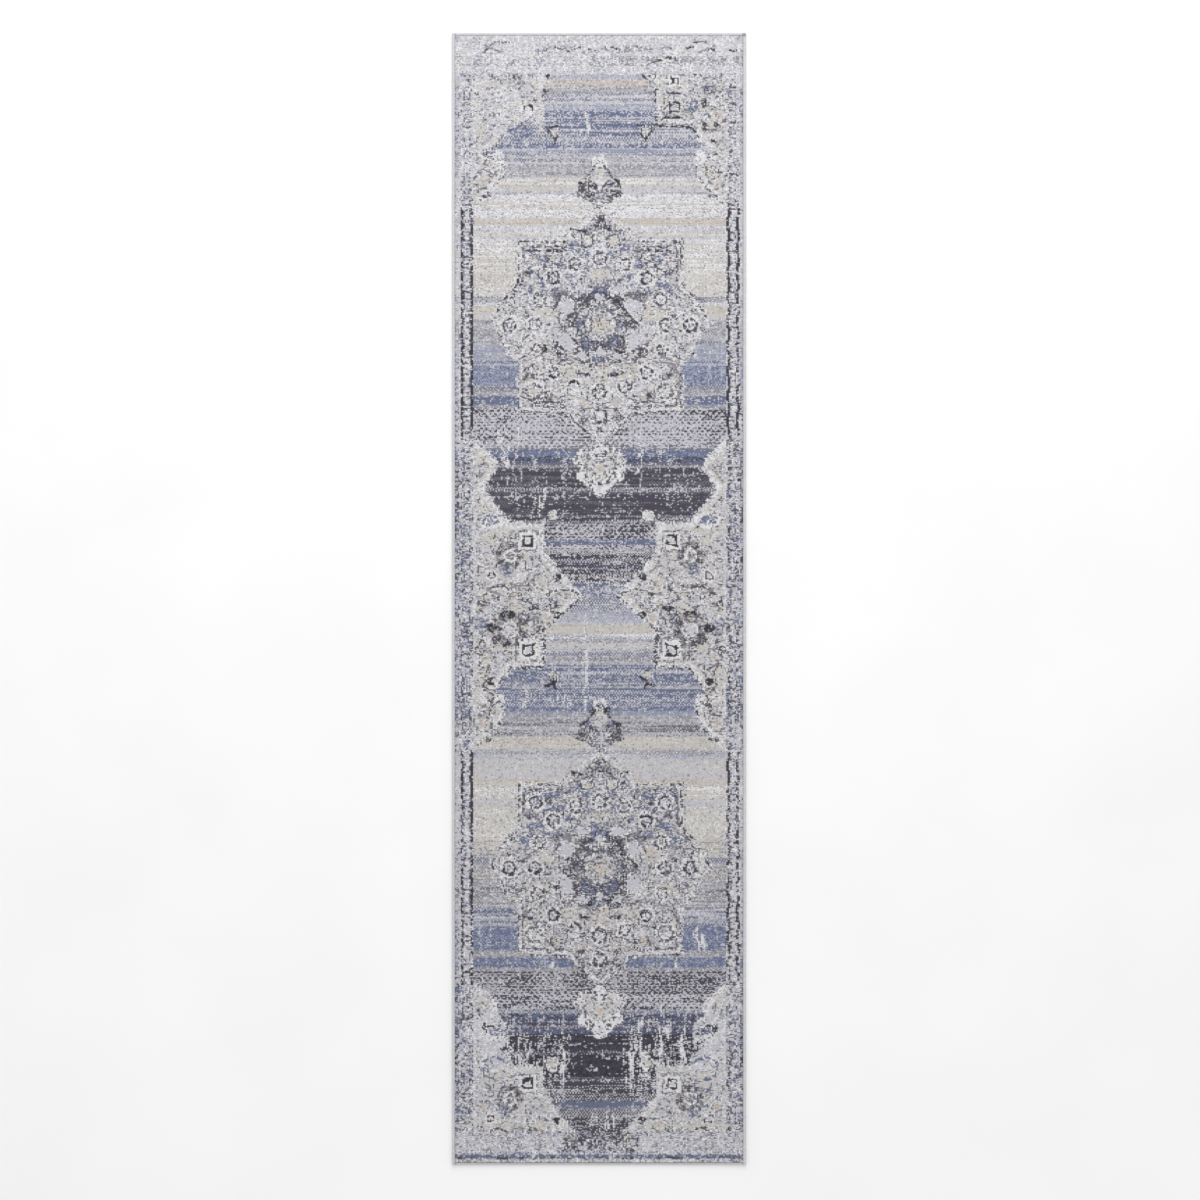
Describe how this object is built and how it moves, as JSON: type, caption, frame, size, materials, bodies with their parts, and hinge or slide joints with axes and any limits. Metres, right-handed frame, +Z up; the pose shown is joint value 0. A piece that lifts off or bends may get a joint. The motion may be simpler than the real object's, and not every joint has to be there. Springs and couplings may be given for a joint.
{
  "type": "runner rug",
  "caption": "Long narrow low-pile woven runner rug with a worn medallion pattern and overcast edges, lying flat on the floor.",
  "frame": {"origin": "middle of the underside, on the floor plane", "axes": "+Y along the length, +X across the width, +Z up out of the pile"},
  "size_m": [0.6, 2.31, 0.008],
  "materials": {
    "pile": "matt cut pile of heat-set polypropylene, ivory, beige, grey and slate blue",
    "ground": "matt plain-woven jute and cotton cloth",
    "latex": "matt brushed latex size coat showing the weft ribs",
    "serging": "soft satin overcast yarn, pale grey",
    "cord": "matt twisted cotton cord"
  },
  "bodies": {
    "root": {"pile_face": "pile", "ground_weave": "ground", "latex_backing": "latex", "serging_left": "serging", "serging_right": "serging", "serging_top_end": "serging", "serging_bottom_end": "serging", "selvedge_cord_left": "cord", "selvedge_cord_right": "cord"}
  },
  "joints": []
}
